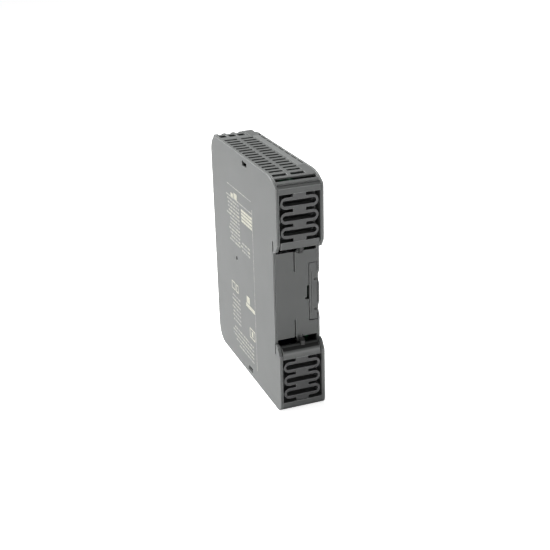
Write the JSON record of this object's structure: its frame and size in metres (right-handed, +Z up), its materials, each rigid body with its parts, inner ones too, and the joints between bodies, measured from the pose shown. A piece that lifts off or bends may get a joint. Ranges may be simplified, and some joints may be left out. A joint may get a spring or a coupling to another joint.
{
  "type": "din rail power supply",
  "caption": "Slim plastic power supply module for a top hat rail, with spring loaded rail feet, vent grilles, plug-in screw terminals and a trimmer.",
  "frame": {"origin": "centre of the rail seat: the plane that the rail flanges press on, at the middle of the rail and of the width", "axes": "+Y out of the rear towards the rail, +Z up, +X across the width to the plain side cover; the terminals face -Y"},
  "size_m": [0.018, 0.072, 0.09],
  "materials": {
    "black_moulding": "moulded epoxy",
    "board_laminate": "solder mask",
    "bus_cover_plastic": "moulded, fine grain",
    "capacitor_case": "moulded box",
    "capacitor_sleeve": "shrink sleeve",
    "clamp_steel": "zinc plated, stamped",
    "coated_ferrite": "powder coated",
    "contact_brass": "tin plated",
    "cover_plastic": "moulded, fine spark eroded grain",
    "enamelled_copper": "enamelled wire",
    "ferrite": "sintered",
    "foot_plastic": "moulded, satin",
    "frame_plastic": "moulded, fine spark eroded grain",
    "front_plastic": "moulded, fine spark eroded grain",
    "fuse_body": "moulded",
    "heatsink_aluminium": "rolled sheet",
    "led_holder": "moulded",
    "left_cover_plastic": "moulded, fine spark eroded grain",
    "light_pipe_plastic": "clear moulded",
    "optocoupler_case": "moulded",
    "screw_steel": "zinc plated, lightly turned",
    "spring_plastic": "moulded, satin",
    "strip_plastic": "moulded, plain",
    "terminal_plastic": "moulded, fine grain",
    "trimmer_case": "moulded",
    "trimmer_plastic": "moulded",
    "varistor_coating": "dipped coating",
    "winding_tape": "polyester tape"
  },
  "bodies": {
    "root": {"housing_frame": "frame_plastic", "right_side_cover": "cover_plastic", "left_side_cover": "left_cover_plastic", "front_cover": "front_plastic", "upper_rail_spring": "spring_plastic", "lower_rail_spring": "spring_plastic", "marking_strip": "strip_plastic", "output_pin_header": "terminal_plastic", "input_pin_header": "terminal_plastic", "circuit_board": "board_laminate", "transformer_core": "ferrite", "transformer_bobbin": "black_moulding", "transformer_winding": "winding_tape", "input_capacitor": "capacitor_sleeve", "output_capacitors": "capacitor_sleeve", "x_capacitor": "capacitor_case", "choke_core": "coated_ferrite", "choke_windings": "enamelled_copper", "output_choke": "ferrite", "fuse": "fuse_body", "varistor": "varistor_coating", "bridge_rectifier": "black_moulding", "switching_transistor": "black_moulding", "transistor_heatsink": "heatsink_aluminium", "output_diode": "black_moulding", "diode_heatsink": "heatsink_aluminium", "optocoupler": "optocoupler_case", "controller_chip": "black_moulding", "trimmer_body": "trimmer_case", "status_led": "led_holder", "light_pipe": "light_pipe_plastic", "side_cover_pins": "frame_plastic"},
    "upper_foot": {"upper_rail_foot": "foot_plastic"},
    "lower_foot": {"lower_rail_foot": "foot_plastic"},
    "bus_cover": {"bus_connector_cover": "bus_cover_plastic"},
    "output_block": {"output_terminal_block": "terminal_plastic", "output_contacts": "contact_brass"},
    "input_block": {"input_terminal_block": "terminal_plastic", "input_contacts": "contact_brass"},
    "trimmer": {"trimmer_rotor": "trimmer_plastic"},
    "output_screw_1": {"output_screw_1": "screw_steel"},
    "output_clamp_1": {"output_clamp_1": "clamp_steel"},
    "output_screw_2": {"output_screw_2": "screw_steel"},
    "output_clamp_2": {"output_clamp_2": "clamp_steel"},
    "output_screw_3": {"output_screw_3": "screw_steel"},
    "output_clamp_3": {"output_clamp_3": "clamp_steel"},
    "input_screw_1": {"input_screw_1": "screw_steel"},
    "input_clamp_1": {"input_clamp_1": "clamp_steel"},
    "input_screw_2": {"input_screw_2": "screw_steel"},
    "input_clamp_2": {"input_clamp_2": "clamp_steel"},
    "input_screw_3": {"input_screw_3": "screw_steel"},
    "input_clamp_3": {"input_clamp_3": "clamp_steel"}
  },
  "joints": [
    {"name": "upper_foot_slide", "type": "slide", "parent": "root", "child": "upper_foot", "axis": [0, 0, 1], "range_m": [0, 0.003], "stiffness_N_per_m": 4000, "deforming": ["upper_rail_spring"]},
    {"name": "lower_foot_slide", "type": "slide", "parent": "root", "child": "lower_foot", "axis": [0, 0, -1], "range_m": [0, 0.003], "stiffness_N_per_m": 4000, "deforming": ["lower_rail_spring"]},
    {"name": "bus_cover_pull", "type": "slide", "parent": "root", "child": "bus_cover", "axis": [0, 1, 0], "range_m": [0, 0.008]},
    {"name": "output_block_unplug", "type": "slide", "parent": "root", "child": "output_block", "axis": [0, -1, 0], "range_m": [0, 0.012]},
    {"name": "input_block_unplug", "type": "slide", "parent": "root", "child": "input_block", "axis": [0, -1, 0], "range_m": [0, 0.012]},
    {"name": "trimmer_turn", "type": "hinge", "parent": "root", "child": "trimmer", "pos_m": [0.0042, -0.06, 0.0125], "axis": [0, -1, 0], "range_deg": [-135, 135]},
    {"name": "output_screw_1_turn", "type": "hinge", "parent": "output_block", "child": "output_screw_1", "pos_m": [0.00595, -0.0655, 0.036], "axis": [0, -1, 0], "range_deg": [0, 1450]},
    {"name": "output_clamp_1_lift", "type": "slide", "parent": "output_block", "child": "output_clamp_1", "axis": [0, 1, 0], "range_m": [0, 0.0016]},
    {"name": "output_screw_2_turn", "type": "hinge", "parent": "output_block", "child": "output_screw_2", "pos_m": [0.00214, -0.0655, 0.036], "axis": [0, -1, 0], "range_deg": [0, 1450]},
    {"name": "output_clamp_2_lift", "type": "slide", "parent": "output_block", "child": "output_clamp_2", "axis": [0, 1, 0], "range_m": [0, 0.0016]},
    {"name": "output_screw_3_turn", "type": "hinge", "parent": "output_block", "child": "output_screw_3", "pos_m": [-0.00167, -0.0655, 0.036], "axis": [0, -1, 0], "range_deg": [0, 1450]},
    {"name": "output_clamp_3_lift", "type": "slide", "parent": "output_block", "child": "output_clamp_3", "axis": [0, 1, 0], "range_m": [0, 0.0016]},
    {"name": "input_screw_1_turn", "type": "hinge", "parent": "input_block", "child": "input_screw_1", "pos_m": [0.00595, -0.0655, -0.035], "axis": [0, -1, 0], "range_deg": [0, 1450]},
    {"name": "input_clamp_1_lift", "type": "slide", "parent": "input_block", "child": "input_clamp_1", "axis": [0, 1, 0], "range_m": [0, 0.0016]},
    {"name": "input_screw_2_turn", "type": "hinge", "parent": "input_block", "child": "input_screw_2", "pos_m": [0.00214, -0.0655, -0.035], "axis": [0, -1, 0], "range_deg": [0, 1450]},
    {"name": "input_clamp_2_lift", "type": "slide", "parent": "input_block", "child": "input_clamp_2", "axis": [0, 1, 0], "range_m": [0, 0.0016]},
    {"name": "input_screw_3_turn", "type": "hinge", "parent": "input_block", "child": "input_screw_3", "pos_m": [-0.00167, -0.0655, -0.035], "axis": [0, -1, 0], "range_deg": [0, 1450]},
    {"name": "input_clamp_3_lift", "type": "slide", "parent": "input_block", "child": "input_clamp_3", "axis": [0, 1, 0], "range_m": [0, 0.0016]}
  ],
  "couplings": [
    {"joint": "output_screw_1_turn", "follows": "output_clamp_1_lift", "rad_per_m": 15708},
    {"joint": "output_screw_2_turn", "follows": "output_clamp_2_lift", "rad_per_m": 15708},
    {"joint": "output_screw_3_turn", "follows": "output_clamp_3_lift", "rad_per_m": 15708},
    {"joint": "input_screw_1_turn", "follows": "input_clamp_1_lift", "rad_per_m": 15708},
    {"joint": "input_screw_2_turn", "follows": "input_clamp_2_lift", "rad_per_m": 15708},
    {"joint": "input_screw_3_turn", "follows": "input_clamp_3_lift", "rad_per_m": 15708}
  ]
}
